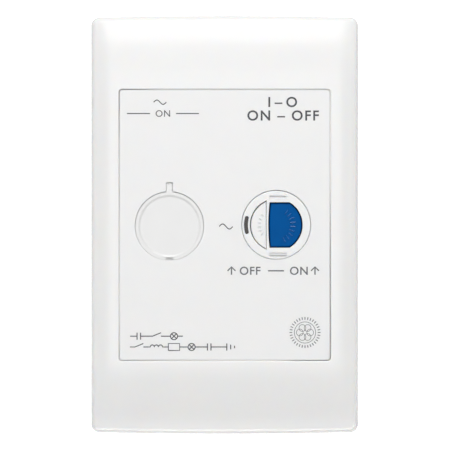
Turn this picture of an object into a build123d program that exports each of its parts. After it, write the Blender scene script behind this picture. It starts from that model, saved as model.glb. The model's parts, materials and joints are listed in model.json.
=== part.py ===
from build123d import *
from math import asin, degrees, pi, sqrt
import os

# Residual current device switch on a vertical wall plate, in millimetres.
# X is to the right, Z is up and the plate faces -Y. The wall surface is y = 0, and the origin is midway
# between the two wall screws. A height below is a distance in front of the wall surface, so what is in the
# wall box has a negative height.

# Surround: a crowned shell with a rectangular opening
plate_width = 76.0
plate_height = 119.0
plate_depth = 10.0
plate_corner = 2.4
plate_bow = 0.5
plate_edge = 1.6
plate_wall = 2.0
plate_lean = 0.3
crown_end_radius = 95.0
crown_side_radius = 44.0
inner_corner = 0.5
opening_land = 0.4
opening_wall = 1.2
opening_return = 4.5
opening_edge = 0.25
clip_tab_width = 8.0
clip_tab_spacing = 36.0
clip_tab_lift = 0.6
clip_tab_height = 4.6
side_rib_length = 10.0
side_rib_spacing = 44.0
pry_notch_width = 8.0
pry_notch_depth = 1.2

# Panel and the grid that carries it
panel_width = 59.8
panel_height = 76.8
panel_corner = 0.8
panel_gap = 0.2
panel_step = 0.3
panel_thickness = 2.0
panel_edge = 0.2
skirt_wall = 1.6
flange_thickness = 2.4
flange_corner = 3.0
flange_side_margin = 1.0
flange_end_margin = 3.5
flange_fit = 0.2
grid_rib = 1.2
grid_rib_depth = 3.0
grid_rib_spacing = 16.0

# Wall screws: 3.5 mm screws on the standard centres of a wall box
screw_spacing = 84.0
wall_screw_hole = 4.2
wall_boss_diameter = 8.8
wall_boss_height = 3.6

# Round openings in the panel
lens_offset = 15.7
lens_drop = 0.3
lens_diameter = 19.3
nose_offset = 14.65
nose_diameter = 19.5
round_gap = 0.12
module_sag = 0.05
hole_edge = 0.15
key_width = 1.7
key_height = 2.6
key_gap = 0.1

# Module housing
housing_wall = 1.6
housing_fit = 0.3
front_wall = 2.4
housing_front_height = 52.0
housing_rear_height = 49.6
housing_corner = 1.5
housing_edge = 0.6
ledge_height = 1.0
parting_depth = 3.0
nose_proud = 0.2
nose_edge = 0.25
module_clip_width = 7.0
module_clip_spacing = 24.0
module_clip_wall = 1.4
module_clip_reach = 2.0
module_clip_catch = 0.9
module_clip_gap = 0.2
corner_post_radius = 2.2
corner_post_margin = 1.6
housing_screw_radius = 1.1
housing_screw_grip = 5.0
pilot_room = 0.6
screw_fit = 0.05
housing_screw_head_radius = 2.0
housing_screw_head = 1.5
housing_screw_head_gap = 0.15
housing_screw_pocket_wall = 0.6
screw_slot_width = 0.5
screw_slot_depth = 0.7

# Indicator: lens, reflector and neon lamp
lens_recess = 0.2
lens_rim = 0.85
lens_dish = 0.3
lens_shell = 1.2
lens_flange = 0.6
lens_flange_thickness = 1.2
lens_tab_step = 0.2
pry_mark_width = 2.0
pry_mark_height = 0.7
pry_mark_depth = 0.8
socket_gap = 0.2
socket_ring_wall = 1.5
socket_ring_depth = 1.1
reflector_flange = 0.8
reflector_mouth_radius = 8.2
reflector_throat_radius = 3.4
reflector_depth = 6.7
reflector_wall = 0.8
neon_radius = 2.4
neon_gap = 0.3
neon_reach = 5.2
neon_foot = 1.2
lamp_lead_radius = 0.3
lamp_lead_offset = 1.0

# Buttons in the nose
guide_radius = 7.5
guide_half_height = 6.47
guide_left = 2.26
guide_bow = 0.35
divider = 0.5
reset_gap = 0.33
test_gap = 0.16
test_slide = 0.09
test_sag = 0.05
reset_recess = 0.6
test_recess = 0.4
button_edge = 0.3
button_lip = 1.4
button_lip_gap = 0.2
button_lip_reach = 0.7
reset_lip_left = 0.2
reset_lip_width = 4.6
test_lip_width = 2.1
nose_pocket_width = 4.8
nose_pocket_height = 1.1
nose_pocket_offset = 8.05
nose_pocket_drop = 0.3
nose_pocket_shift = 0.5
nose_pocket_depth = 0.5
nose_slot = 0.2
nose_slot_play = 0.08
nose_slot_depth = 1.2

# Reset pin, its spring and travel
reset_travel = 1.8
spring_wire_sides = 6
pin_offset = 2.2
pin_radius = 1.2
pin_groove_radius = 0.8
pin_seat = 2.6
pin_boss_radius = 2.0
pin_boss_room = 2.9
pin_fit = 0.05
pin_running_fit = 0.15
pin_tip = 0.6
pin_chamfer = 0.4
reset_spring_radius = 2.6
reset_spring_wire = 0.3
reset_spring_turns = 5

# Mechanism frame, carrier and latch
frame_thickness = 1.4
frame_side = 4.8
frame_top = 8.5
frame_leg = 1.1
frame_leg_depth = 12.0
carrier_gap = 0.6
carrier_depth = 4.0
carrier_half_width = 2.8
carrier_half_height = 4.5
carrier_post_width = 1.2
carrier_bar_thickness = 1.2
carrier_bar_height = 2.0
carrier_bar_drop = 2.0
carrier_tail = 6.3
carrier_tail_thickness = 0.9
carrier_lug = 0.8
latch_thickness = 1.2
latch_width = 3.8
latch_slot_gap = 0.1
latch_low_end = 6.0
latch_high_end = 7.7
latch_spring_radius = 0.9
latch_spring_wire = 0.15
latch_spring_turns = 5

# Contacts
arm_offset = 4.6
arm_round = 1.0
arm_width = 3.0
arm_thickness = 0.7
arm_hinge_drop = 14.0
arm_free_end = 6.9
arm_end_gap = 0.2
arm_bar_gap = 0.3
contact_offset = 5.0
contact_radius = 1.3
moving_contact_height = 0.8
fixed_contact_height = 1.2
contact_gap = 0.2
strip_thickness = 0.8
strip_gap = 0.4
strip_low_end = 2.5
strip_high_end = 8.8
anchor_height = 3.4
anchor_front = 1.5
anchor_back = 1.4

# Trip solenoid
trip_travel = 1.6
yoke_bottom = 9.4
yoke_thickness = 0.8
yoke_half_width = 4.4
bobbin_length = 7.6
bobbin_radius = 4.6
bobbin_flange = 0.8
bobbin_wall = 0.6
winding_radius = 4.3
coil_gap = 0.1
yoke_gap = 0.2
plunger_radius = 1.5
plunger_stem_radius = 1.0
plunger_gap = 0.3
plunger_fit = 0.2
plunger_collar_radius = 1.9
plunger_collar = 0.7
plunger_spring_radius = 1.5
plunger_spring_wire = 0.2
plunger_spring_turns = 3
yoke_post_width = 2.6
yoke_post_height = 3.4

# Circuit board and what is on it
board_thickness = 1.6
board_half_height = 17.0
board_edge_gap = 0.4
board_right = 11.0
board_hole_radius = 3.2
board_post_radius = 1.4
board_post_margin = 0.9
board_post_spread = 13.0
led_radius = 1.5
led_height = 2.8
light_gap = 0.3
light_slot_radius = 8.6
light_slot_width = 1.1
light_slot_half_angle = 13.5
light_recess = 0.3
light_stem_radius = 0.8
light_collar = 0.25
light_collar_depth = 1.0
chip_x = 3.0
chip_z = 8.0
chip_width = 6.0
chip_height = 5.0
chip_depth = 1.5
thyristor_x = 7.0
thyristor_z = 13.6
thyristor_radius = 2.3
thyristor_depth = 4.5
thyristor_flat = 1.3
capacitor_x = -17.0
capacitor_z = 13.0
capacitor_width = 9.0
capacitor_height = 5.0
capacitor_depth = 6.0
capacitor_edge = 0.6
varistor_x = -4.0
varistor_z = 13.0
varistor_radius = 3.2
varistor_thickness = 2.2
varistor_round = 0.7
varistor_lead_offset = 1.1
neon_resistor_x = -17.0
neon_resistor_z = -12.0
test_resistor_x = 1.0
test_resistor_z = -6.0
resistor_radius = 1.1
resistor_length = 5.6
resistor_waist = 0.25
axial_lead_radius = 0.3
axial_lead_reach = 1.2

# Test contact
test_travel = 1.5
test_stem_offset = 5.0
test_stem_radius = 1.1
leaf_gap = 0.3
leaf_thickness = 0.4
leaf_width = 3.0
leaf_round = 1.0
leaf_free_end = 4.0
leaf_root = 9.0
leaf_height = 3.6
post_radius = 0.9
root_post_offset = 10.2
contact_post_offset = 3.2
contact_post_gap = 0.15

# Current transformer and leads
toroid_x = 9.0
toroid_gap = 0.1
core_inner_radius = 4.6
core_outer_radius = 7.6
core_thickness = 4.8
winding_wall = 0.6
winding_core_gap = 0.05
winding_arc = 300.0
lead_radius = 1.1
lead_gap = 0.2
lead_bypass = 1.0
lead_bend = 1.8

# Terminals
terminal_offset = 13.0
terminal_width = 8.0
terminal_length = 9.0
terminal_depth = 9.0
terminal_room = 3.9
wire_bore = 3.8
wire_funnel_radius = 2.6
clamp_screw_radius = 1.15
clamp_hole_radius = 1.2
clamp_screw_length = 2.4
clamp_head_radius = 2.4
clamp_head = 1.3
clamp_access_gap = 0.3

# Heights worked out from the front to the back
panel_face = plate_depth - panel_step
panel_back = panel_face - panel_thickness
nose_face = panel_face + nose_proud
lens_face = panel_face - lens_recess
cavity_front = panel_back - front_wall
reset_face = nose_face - reset_recess
test_face = nose_face - test_recess
button_back = cavity_front - button_lip_gap - button_lip
frame_front = -parting_depth
pin_boss_depth = button_back - frame_front - reset_travel - pin_boss_room
frame_back = frame_front - frame_thickness
lead_front_run = frame_back - lead_gap - lead_radius
board_front = lead_front_run - lead_radius - lead_gap
board_back = board_front - board_thickness
carrier_front = frame_back - carrier_gap
carrier_back = carrier_front - carrier_depth
latch_middle = (carrier_front + carrier_back) / 2
latch_front = latch_middle + latch_thickness / 2
latch_back = latch_middle - latch_thickness / 2
strip_front = carrier_back - strip_gap
strip_back = strip_front - strip_thickness
fixed_contact_face = strip_back - fixed_contact_height
moving_contact_face = fixed_contact_face - contact_gap
arm_front = moving_contact_face - moving_contact_height
arm_back = arm_front - arm_thickness
bar_front = arm_back - arm_bar_gap
bar_back = bar_front - carrier_bar_thickness
winding_front = board_back - toroid_gap
core_front = winding_front - winding_wall - winding_core_gap
core_back = core_front - core_thickness
winding_back = core_back - winding_core_gap - winding_wall
terminal_front = winding_back - terminal_room
cavity_back = terminal_front - terminal_depth
housing_back = cavity_back - housing_wall
in_lead_height = terminal_front - lead_gap - lead_radius
out_lead_height = cavity_back + lead_gap + lead_radius
bore_height = (in_lead_height + out_lead_height) / 2

# Places worked out across the plate
opening_width = panel_width + 2 * panel_gap
opening_height = panel_height + 2 * panel_gap
opening_corner = panel_corner + panel_gap
lens_x = -lens_offset
lens_z = -lens_drop
lens_radius = lens_diameter / 2
nose_x = nose_offset
nose_radius = nose_diameter / 2
pin_x = nose_x + pin_offset
test_x = nose_x - test_stem_offset
light_x = nose_x - light_slot_radius
arm_places = {"line": pin_x - arm_offset, "neutral": pin_x + arm_offset}
rear_half_width = pin_x + arm_offset + arm_width / 2 + housing_fit + housing_wall
rear_half_height = housing_rear_height / 2
cavity_half_width = rear_half_width - housing_wall
cavity_half_height = rear_half_height - housing_wall
front_half_width = panel_width / 2 - skirt_wall - housing_fit
front_half_height = housing_front_height / 2
corner_x = cavity_half_width - corner_post_margin
corner_z = cavity_half_height - corner_post_margin
flange_width = plate_width - 2 * plate_wall - 2 * flange_side_margin
flange_height = plate_height - 2 * plate_wall - 2 * flange_end_margin
terminal_inner = cavity_half_height - terminal_length


def at(x, z, height):
    """Point over the wall surface: right, up and towards the viewer."""
    return (x, -height, z)


def facing(height):
    """Sketch plane that faces the viewer, at a height in front of the wall."""
    return Plane.XZ.offset(height)


def block(left, right, bottom, top, low, high, mode=Mode.ADD):
    """Rectangular solid between two heights, in the part being built."""
    with BuildSketch(facing(low)) as outline:
        with Locations(((left + right) / 2, (bottom + top) / 2)):
            Rectangle(right - left, top - bottom)
    extrude(outline.sketch, amount=high - low, mode=mode)


def disc(x, z, radius, low, high, mode=Mode.ADD):
    """Round solid between two heights, in the part being built."""
    with BuildSketch(facing(low)) as outline:
        with Locations((x, z)):
            Circle(radius)
    extrude(outline.sketch, amount=high - low, mode=mode)


def rounded(half_width, half_height, corner, low, high, mode=Mode.ADD):
    """Rounded rectangular solid about the middle of the plate, between two heights."""
    with BuildSketch(facing(low)) as outline:
        RectangleRounded(2 * half_width, 2 * half_height, corner)
    extrude(outline.sketch, amount=high - low, mode=mode)


def upright(x, height, radius, bottom, top, mode=Mode.ADD):
    """Round solid that stands along Z, in the part being built."""
    with BuildSketch(Plane.XY.offset(bottom)) as outline:
        with Locations((x, -height)):
            Circle(radius)
    extrude(outline.sketch, amount=top - bottom, mode=mode)


def coil_spring(start, direction, length, radius, wire, turns):
    """Open helical spring with its wire inside its length."""
    path = Helix(
        pitch=(length - 2 * wire) / turns,
        height=length - 2 * wire,
        radius=radius,
        center=start + direction * wire,
        direction=direction,
        mode=Mode.PRIVATE,
    )
    with BuildSketch(Plane(origin=path @ 0, z_dir=path % 0)) as section:
        RegularPolygon(wire, spring_wire_sides)
    sweep(section.sketch, path=path, is_frenet=True)


def wire_run(points, radius, bend):
    """Round wire along straight runs joined by bends."""
    with BuildLine() as route:
        FilletPolyline(*points, radius=bend)
    path = route.wires()[0]
    with BuildSketch(Plane(origin=path @ 0, z_dir=path % 0)) as section:
        Circle(radius)
    sweep(section.sketch, path=path)


# Surround cover
def plate_outline(inset, corner):
    """Outline of the plate drawn in by inset: straight sides, bowed ends and rounded corners."""
    half_width = plate_width / 2 - inset
    half_height = plate_height / 2 - inset
    side_end = half_height - plate_bow
    with BuildSketch(mode=Mode.PRIVATE) as outline:
        with BuildLine():
            Line((half_width, -side_end), (half_width, side_end))
            ThreePointArc((half_width, side_end), (0, half_height), (-half_width, side_end))
            Line((-half_width, side_end), (-half_width, -side_end))
            ThreePointArc((-half_width, -side_end), (0, -half_height), (half_width, -side_end))
        make_face()
        fillet(outline.vertices(), corner)
    return outline.sketch


def crowned_block(inset, drop, corner):
    """Solid under the crowned front, drawn in at the sides by inset and lowered in front by drop."""
    flat_side = opening_width / 2 + opening_land
    flat_end = opening_height / 2 + opening_land
    face = plate_depth - drop
    side_radius = crown_side_radius - drop
    side_height = face - side_radius + sqrt(side_radius**2 - (plate_width / 2 - flat_side) ** 2)
    turning_depth = crown_end_radius - plate_depth
    end_turn = degrees(asin((plate_height / 2 - flat_end) / turning_depth))
    with BuildPart() as crowned:
        with BuildSketch(Plane.XY.offset(-flat_end)) as cross_section:
            with BuildLine():
                Line((-plate_width / 2, 0), (plate_width / 2, 0))
                for side in (-1, 1):
                    flat_corner = (side * flat_side, -face)
                    outer_corner = (side * plate_width / 2, -side_height)
                    TangentArc(flat_corner, outer_corner, tangent=(side, 0))
                    Line(outer_corner, (side * plate_width / 2, 0))
                Line((-flat_side, -face), (flat_side, -face))
            make_face()
        extrude(cross_section.sketch, amount=2 * flat_end)
        ends = crowned.faces().sort_by(Axis.Z)
        for side, end_face in ((-1, ends[0]), (1, ends[-1])):
            turning_line = Axis((0, turning_depth, side * flat_end), (-side, 0, 0))
            revolve(end_face, axis=turning_line, revolution_arc=end_turn)
        rim = facing(0) * plate_outline(inset, corner)
        top = facing(plate_depth) * plate_outline(inset + plate_lean, corner)
        loft([rim, top], ruled=True, mode=Mode.INTERSECT)
    return crowned


tab_middle = clip_tab_spacing / 2
tab_inner = flange_height / 2 + flange_fit
tab_outer = plate_height / 2 - plate_wall
rib_inner = flange_width / 2 + flange_fit
rib_outer = plate_width / 2 - plate_wall
return_bottom = plate_depth - opening_return

# Faces that look forward more than they look sideways belong to the crowned front
steep = 0.5

outside = crowned_block(0, 0, plate_corner)
hollow = crowned_block(plate_wall, plate_wall, inner_corner)

with BuildPart() as surround_cover:
    add(outside.part)
    front_faces = surround_cover.faces().filter_by(lambda face: -face.normal_at().Y > steep)
    side_walls = surround_cover.faces().filter_by(lambda face: abs(face.normal_at().Y) < steep)
    fillet(front_faces.edges() & side_walls.edges(), plate_edge)
    add(hollow.part, mode=Mode.SUBTRACT)
    rounded(
        opening_width / 2 + opening_wall,
        opening_height / 2 + opening_wall,
        opening_corner + opening_wall,
        return_bottom,
        plate_depth - plate_wall / 2,
    )
    for side in (-1, 1):
        for place in (-tab_middle, tab_middle):
            left = place - clip_tab_width / 2
            right = place + clip_tab_width / 2
            ends = sorted((side * tab_inner, side * tab_outer))
            block(left, right, ends[0], ends[1], clip_tab_lift, clip_tab_lift + clip_tab_height)
        for place in (-side_rib_spacing / 2, side_rib_spacing / 2):
            bottom = place - side_rib_length / 2
            top = place + side_rib_length / 2
            ends = sorted((side * rib_inner, side * rib_outer))
            block(ends[0], ends[1], bottom, top, clip_tab_lift, clip_tab_lift + clip_tab_height)
    rounded(opening_width / 2, opening_height / 2, opening_corner, 0, plate_depth, Mode.SUBTRACT)
    block(
        -pry_notch_width / 2,
        pry_notch_width / 2,
        -plate_height / 2,
        -plate_height / 2 + plate_wall + plate_lean,
        0,
        pry_notch_depth,
        Mode.SUBTRACT,
    )
    front_face = surround_cover.faces().sort_by(Axis.Y)[0]
    fillet(front_face.inner_wires()[0].edges(), opening_edge)
surround_cover.part.label = "surround_cover"

# Grid plate: the visible panel on its skirt, with the flange, screw ears and module clips
inner_half_width = panel_width / 2 - skirt_wall
inner_half_height = panel_height / 2 - skirt_wall
clip_inner = front_half_height + module_clip_gap
clip_hook = front_half_height - module_clip_catch
clip_tip = ledge_height - module_clip_reach

with BuildPart() as grid_plate:
    rounded(panel_width / 2, panel_height / 2, panel_corner, 0, panel_face)
    fillet(grid_plate.edges().group_by(Axis.Y)[0], panel_edge)
    rounded(flange_width / 2, flange_height / 2, flange_corner, 0, flange_thickness)
    for side in (-1, 1):
        disc(0, side * screw_spacing / 2, wall_boss_diameter / 2, 0, wall_boss_height)
    rounded(inner_half_width, inner_half_height, panel_corner, 0, panel_back, Mode.SUBTRACT)
    for side in (-1, 1):
        disc(0, side * screw_spacing / 2, wall_screw_hole / 2, 0, panel_face, Mode.SUBTRACT)
    disc(lens_x, lens_z + module_sag, lens_radius + round_gap, 0, panel_face, Mode.SUBTRACT)
    disc(nose_x, module_sag, nose_radius + round_gap, 0, panel_face, Mode.SUBTRACT)
    front_circles = grid_plate.edges().filter_by(GeomType.CIRCLE).group_by(Axis.Y)[0]
    fillet(front_circles.sort_by(SortBy.RADIUS)[-2:], hole_edge)
    block(
        lens_x - key_width / 2 - key_gap,
        lens_x + key_width / 2 + key_gap,
        lens_z,
        lens_z + module_sag + lens_radius + key_height + key_gap,
        panel_back,
        panel_face,
        Mode.SUBTRACT,
    )
    for side in (-1, 1):
        for place in (-module_clip_spacing / 2, module_clip_spacing / 2):
            left = place - module_clip_width / 2
            right = place + module_clip_width / 2
            finger = sorted((side * clip_inner, side * (clip_inner + module_clip_wall)))
            hook = sorted((side * clip_hook, side * (clip_inner + module_clip_wall)))
            block(left, right, finger[0], finger[1], clip_tip, panel_back)
            block(left, right, hook[0], hook[1], clip_tip, ledge_height - module_clip_gap)
        for place in (-1, 0, 1):
            left = place * grid_rib_spacing - grid_rib / 2
            right = place * grid_rib_spacing + grid_rib / 2
            span = sorted((side * (clip_inner + module_clip_wall), side * inner_half_height))
            block(left, right, span[0], span[1], panel_back - grid_rib_depth, panel_back)
grid_plate.part.label = "grid_plate"


# Outlines of the two buttons, seen from the front
def reset_outline(inset):
    """Reset guide drawn in by inset: round at the right, flat above and below, bowed at the left."""
    radius = guide_radius - inset
    half_height = guide_half_height - inset
    right_end = nose_x + sqrt(radius**2 - half_height**2)
    left_middle = nose_x - guide_left + inset
    left_end = left_middle + guide_bow
    with BuildLine() as outline:
        Line((left_end, half_height), (right_end, half_height))
        ThreePointArc((right_end, half_height), (nose_x + radius, 0), (right_end, -half_height))
        Line((right_end, -half_height), (left_end, -half_height))
        ThreePointArc((left_end, -half_height), (left_middle, 0), (left_end, half_height))
    make_face(outline.edges())


def test_outline(inset, slide=0, sag=0):
    """Test guide drawn in by inset and moved by its play: the segment of the circle left of the divider."""
    radius = guide_radius - inset
    right = -guide_left - divider - inset
    half_height = sqrt(radius**2 - right**2)
    upper = (nose_x + right + slide, half_height - sag)
    lower = (nose_x + right + slide, -half_height - sag)
    with BuildLine() as outline:
        Line(lower, upper)
        ThreePointArc(upper, (nose_x - radius + slide, -sag), lower)
    make_face(outline.edges())


def light_outline(grow):
    """Curved status window beside the test button."""
    with Locations((nose_x, 0)):
        SlotArc(
            CenterArc((0, 0), light_slot_radius, 180 - light_slot_half_angle, 2 * light_slot_half_angle),
            light_slot_width + 2 * grow,
        )


# Front housing: flat front with the lens socket, and the round nose with the button guides
socket_radius = lens_radius + lens_flange + socket_gap
socket_floor = panel_back - lens_flange_thickness - reflector_flange
socket_mouth = reflector_mouth_radius + socket_gap
ring_radius = min(lens_x + front_half_width, socket_radius + socket_ring_wall)
pilot_radius = housing_screw_radius + screw_fit
pilot_end = frame_front + housing_screw_grip + pilot_room

with BuildPart() as front_housing:
    rounded(front_half_width, front_half_height, housing_corner, ledge_height, panel_back)
    rounded(rear_half_width, rear_half_height, housing_corner, frame_front, ledge_height)
    rounded(
        cavity_half_width,
        cavity_half_height,
        housing_corner,
        frame_front,
        cavity_front,
        Mode.SUBTRACT,
    )
    rounded(
        front_half_width - housing_wall,
        front_half_height - housing_wall,
        housing_corner,
        ledge_height + housing_wall,
        cavity_front,
        Mode.SUBTRACT,
    )
    disc(nose_x, 0, nose_radius, cavity_front, nose_face)
    fillet(front_housing.edges().group_by(Axis.Y)[0], nose_edge)
    disc(lens_x, lens_z, ring_radius, cavity_front - socket_ring_depth, cavity_front)
    disc(lens_x, lens_z, socket_mouth, cavity_front - socket_ring_depth, panel_back, Mode.SUBTRACT)
    disc(lens_x, lens_z, socket_radius, socket_floor, panel_back, Mode.SUBTRACT)
    with BuildSketch(facing(cavity_front)) as reset_guide:
        reset_outline(0)
    extrude(reset_guide.sketch, amount=nose_face - cavity_front, mode=Mode.SUBTRACT)
    with BuildSketch(facing(cavity_front)) as test_guide:
        test_outline(0)
    extrude(test_guide.sketch, amount=nose_face - cavity_front, mode=Mode.SUBTRACT)
    with BuildSketch(facing(cavity_front)) as light_slot:
        light_outline(0)
    extrude(light_slot.sketch, amount=nose_face - cavity_front, mode=Mode.SUBTRACT)
    for side in (-1, 1):
        left = nose_x + nose_pocket_shift - nose_pocket_width / 2
        right = left + nose_pocket_width
        outer = side * (nose_pocket_offset + nose_pocket_height / 2) - nose_pocket_drop
        pocket = sorted((outer, outer - side * nose_pocket_height))
        slot = sorted((outer, outer - side * nose_slot + nose_slot_play))
        block(left, right, pocket[0], pocket[1], nose_face - nose_pocket_depth, nose_face, Mode.SUBTRACT)
        block(left, right, slot[0], slot[1], nose_face - nose_slot_depth, nose_face, Mode.SUBTRACT)
    for x in (-corner_x, corner_x):
        for z in (-corner_z, corner_z):
            disc(x, z, corner_post_radius, frame_front, cavity_front)
            disc(x, z, pilot_radius, frame_front, pilot_end, Mode.SUBTRACT)
front_housing.part.label = "front_housing"

# Rear housing: cup with the screw posts, the wire entries and the screwdriver holes
head_pocket_radius = housing_screw_head_radius + housing_screw_head_gap
post_base_radius = head_pocket_radius + housing_screw_pocket_wall
head_pocket = housing_screw_head + 2 * housing_screw_head_gap
yoke_back = latch_middle - bobbin_radius - yoke_gap - yoke_thickness
yoke_top = yoke_bottom + 2 * yoke_thickness + bobbin_length

with BuildPart() as rear_housing:
    rounded(rear_half_width, rear_half_height, housing_corner, housing_back, frame_front)
    fillet(rear_housing.edges().group_by(Axis.Y)[-1], housing_edge)
    rounded(
        cavity_half_width,
        cavity_half_height,
        housing_corner,
        cavity_back,
        frame_front,
        Mode.SUBTRACT,
    )
    for x in (-corner_x, corner_x):
        for z in (-corner_z, corner_z):
            disc(x, z, corner_post_radius, cavity_back, frame_front)
            disc(x, z, post_base_radius, cavity_back, housing_back + 2 * head_pocket)
            disc(x, z, pilot_radius + screw_fit, housing_back, frame_front, Mode.SUBTRACT)
            disc(x, z, head_pocket_radius, housing_back, housing_back + head_pocket, Mode.SUBTRACT)
    for z in (-board_post_spread, board_post_spread):
        disc(-cavity_half_width + board_post_margin, z, board_post_radius, cavity_back, board_back)
    block(
        pin_x + yoke_half_width - yoke_post_width,
        pin_x + yoke_half_width,
        yoke_bottom + yoke_thickness,
        yoke_bottom + yoke_thickness + yoke_post_height,
        cavity_back,
        yoke_back,
    )
    for x in (-terminal_offset, terminal_offset):
        for side in (-1, 1):
            upright(
                x,
                bore_height,
                wire_funnel_radius,
                min(side * cavity_half_height, side * rear_half_height),
                max(side * cavity_half_height, side * rear_half_height),
                Mode.SUBTRACT,
            )
            disc(
                x,
                side * (terminal_inner + terminal_length / 2),
                clamp_head_radius + clamp_access_gap,
                housing_back,
                cavity_back,
                Mode.SUBTRACT,
            )
rear_housing.part.label = "rear_housing"

# Screws that close the housing
with BuildPart() as housing_screws:
    for x in (-corner_x, corner_x):
        for z in (-corner_z, corner_z):
            head_top = housing_back + head_pocket
            disc(x, z, housing_screw_head_radius, head_top - housing_screw_head, head_top)
            disc(x, z, housing_screw_radius, head_top, frame_front + housing_screw_grip)
            for across, along in ((1, 0), (0, 1)):
                half_x = across * housing_screw_head_radius / 2 + along * screw_slot_width / 2
                half_z = along * housing_screw_head_radius / 2 + across * screw_slot_width / 2
                block(
                    x - half_x,
                    x + half_x,
                    z - half_z,
                    z + half_z,
                    head_top - housing_screw_head,
                    head_top - housing_screw_head + screw_slot_depth,
                    Mode.SUBTRACT,
                )
housing_screws.part.label = "housing_screws"

# Indicator lens with its rim, flange and key tab
flange_back = panel_back - lens_flange_thickness
dish_back = lens_face - lens_dish - lens_shell

with BuildPart() as indicator_lens:
    disc(lens_x, lens_z, lens_radius, flange_back, lens_face)
    disc(lens_x, lens_z, lens_radius + lens_flange, flange_back, panel_back)
    disc(lens_x, lens_z, lens_radius - lens_rim, lens_face - lens_dish, lens_face, Mode.SUBTRACT)
    disc(lens_x, lens_z, lens_radius - lens_rim, flange_back, dish_back, Mode.SUBTRACT)
    block(
        lens_x - key_width / 2,
        lens_x + key_width / 2,
        lens_z + lens_radius - lens_rim / 2,
        lens_z + lens_radius + key_height,
        panel_back,
        lens_face - lens_tab_step,
    )
    pry_middle = lens_z - lens_radius + lens_rim / 2
    block(
        lens_x - pry_mark_width / 2,
        lens_x + pry_mark_width / 2,
        pry_middle - pry_mark_height / 2,
        pry_middle + pry_mark_height / 2,
        lens_face - pry_mark_depth,
        lens_face,
        Mode.SUBTRACT,
    )
indicator_lens.part.label = "indicator_lens"

# Reflector cup behind the lens, turned about the lens axis
throat_height = socket_floor - reflector_depth
lens_axis = Axis((lens_x, 0, lens_z), (0, 1, 0))

with BuildPart() as indicator_reflector:
    with BuildSketch(Plane.XY.offset(lens_z)) as cup_profile:
        with BuildLine():
            Polyline(
                (lens_x + reflector_mouth_radius - reflector_wall, -flange_back),
                (lens_x + lens_radius, -flange_back),
                (lens_x + lens_radius, -socket_floor),
                (lens_x + reflector_mouth_radius, -socket_floor),
                (lens_x + reflector_throat_radius, -throat_height),
                (lens_x + neon_radius + neon_gap, -throat_height),
                (lens_x + neon_radius + neon_gap, -throat_height - reflector_wall),
                close=True,
            )
        make_face()
    revolve(axis=lens_axis)
indicator_reflector.part.label = "indicator_reflector"

# Neon lamp: glass envelope with a domed top, and two leads into the board
neon_top = throat_height + neon_reach
neon_bottom = board_front + neon_foot

with BuildPart() as neon_lamp:
    with BuildSketch(Plane.XY.offset(lens_z)) as glass_profile:
        with BuildLine():
            Polyline(
                (lens_x, -neon_top),
                (lens_x, -neon_bottom),
                (lens_x + neon_radius, -neon_bottom),
                (lens_x + neon_radius, -neon_top + neon_radius),
            )
            RadiusArc(
                (lens_x + neon_radius, -neon_top + neon_radius),
                (lens_x, -neon_top),
                neon_radius,
            )
        make_face()
    revolve(axis=lens_axis)
    for side in (-1, 1):
        disc(lens_x + side * lamp_lead_offset, lens_z, lamp_lead_radius, board_front, neon_bottom)
neon_lamp.part.label = "neon_lamp"

# Reset button: capped D with a retaining lip and the boss that holds the pin
lip_top = button_back + button_lip

with BuildPart() as reset_button:
    with BuildSketch(facing(button_back)) as reset_face_outline:
        reset_outline(reset_gap)
    extrude(reset_face_outline.sketch, amount=reset_face - button_back)
    fillet(reset_button.edges().group_by(Axis.Y)[0], button_edge)
    block(
        nose_x + reset_lip_left,
        nose_x + reset_lip_left + reset_lip_width,
        -guide_half_height - button_lip_reach,
        guide_half_height + button_lip_reach,
        button_back,
        lip_top,
    )
    disc(pin_x, 0, pin_boss_radius, button_back - pin_boss_depth, button_back)
    disc(
        pin_x,
        0,
        pin_radius + pin_fit,
        button_back - pin_boss_depth,
        button_back - pin_boss_depth + pin_seat + pin_fit,
        Mode.SUBTRACT,
    )
reset_button.part.label = "reset_button"

# Reset pin with the groove that the latch holds
with BuildPart() as reset_pin:
    disc(pin_x, 0, pin_radius, carrier_back - pin_tip, button_back - pin_boss_depth + pin_seat)
    with BuildSketch(facing(latch_back - pin_running_fit)) as groove:
        with Locations((pin_x, 0)):
            Circle(2 * pin_radius)
            Circle(pin_groove_radius, mode=Mode.SUBTRACT)
    extrude(groove.sketch, amount=latch_thickness + 2 * pin_running_fit, mode=Mode.SUBTRACT)
    chamfer(reset_pin.edges().group_by(Axis.Y)[-1], pin_chamfer)
reset_pin.part.label = "reset_pin"

# Reset spring between the button and the frame
with BuildPart() as reset_spring:
    coil_spring(
        Vector(pin_x, -button_back, 0),
        Vector(0, 1, 0),
        button_back - frame_front,
        reset_spring_radius,
        reset_spring_wire,
        reset_spring_turns,
    )
reset_spring.part.label = "reset_spring"

# Test button: segment with a retaining lip and the stem that presses the leaf
test_right = nose_x - guide_left - divider - test_gap
leaf_front = board_front + leaf_height

with BuildPart() as test_button:
    with BuildSketch(facing(button_back)) as test_face_outline:
        test_outline(test_gap, test_slide, test_sag)
    extrude(test_face_outline.sketch, amount=test_face - button_back)
    fillet(test_button.edges().group_by(Axis.Y)[0], button_edge)
    block(
        test_right - test_lip_width,
        test_right,
        -guide_half_height - button_lip_reach,
        guide_half_height + button_lip_reach,
        button_back,
        lip_top,
    )
    disc(test_x, 0, test_stem_radius, leaf_front + leaf_gap, button_back)
test_button.part.label = "test_button"

# Test leaf and the two posts on the board
leaf_back = leaf_front - leaf_thickness
leaf_swing = test_travel * (leaf_root + contact_post_offset + post_radius) / (leaf_root - test_stem_radius)

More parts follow.
